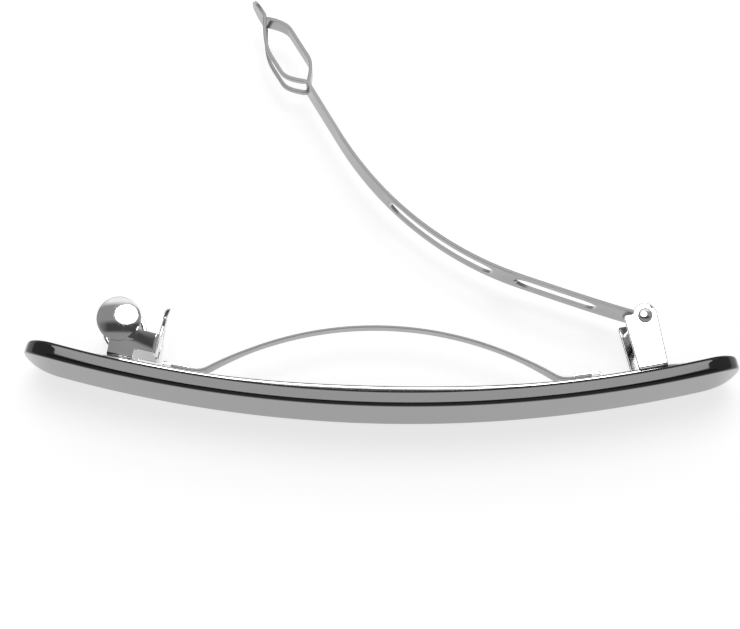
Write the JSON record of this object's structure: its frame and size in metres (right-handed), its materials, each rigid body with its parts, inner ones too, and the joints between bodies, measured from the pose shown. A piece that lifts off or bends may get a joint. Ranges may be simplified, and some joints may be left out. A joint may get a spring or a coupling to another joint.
{
  "type": "hair clip",
  "caption": "Open barrette hair clip: a curved glossy black bar with a plated clasp on its back, a slotted swing arm, a bow spring and a pinch catch.",
  "frame": {"origin": "middle of the bar's front face", "axes": "+X along the bar towards the hinge, +Y from the bar's front to its back, +Z across its width; the clip stands on its long edge"},
  "size_m": [0.0984, 0.0585, 0.016],
  "materials": {
    "black_acetate": "polished",
    "nickel_plate": "polished"
  },
  "bodies": {
    "bar": {"front_bar": "black_acetate", "base_plate": "nickel_plate", "hinge_pin": "nickel_plate", "bow_spring": "nickel_plate", "catch_saddle": "nickel_plate", "catch_end_rivet": "nickel_plate", "catch_rivet": "nickel_plate", "hinge_end_rivet": "nickel_plate"},
    "arm": {"swing_arm": "nickel_plate"},
    "upper_wing": {"catch_wing_upper": "nickel_plate"},
    "lower_wing": {"catch_wing_lower": "nickel_plate"}
  },
  "joints": [
    {"name": "arm_swing", "type": "hinge", "parent": "bar", "child": "arm", "pos_m": [0.03575, 0.01385, 0], "axis": [0, 0, 1], "range_deg": [0, 38.25], "deforming": ["bow_spring"]},
    {"name": "upper_wing_pinch", "type": "hinge", "parent": "bar", "child": "upper_wing", "pos_m": [-0.03565, 0.00684, 0.00335], "axis": [-0.9804, 0.1971, 0], "range_deg": [0, 5], "stiffness_Nm_per_rad": 0.2},
    {"name": "lower_wing_pinch", "type": "hinge", "parent": "bar", "child": "lower_wing", "pos_m": [-0.03565, 0.00684, -0.00335], "axis": [0.9804, -0.1971, 0], "range_deg": [0, 5], "stiffness_Nm_per_rad": 0.2}
  ]
}
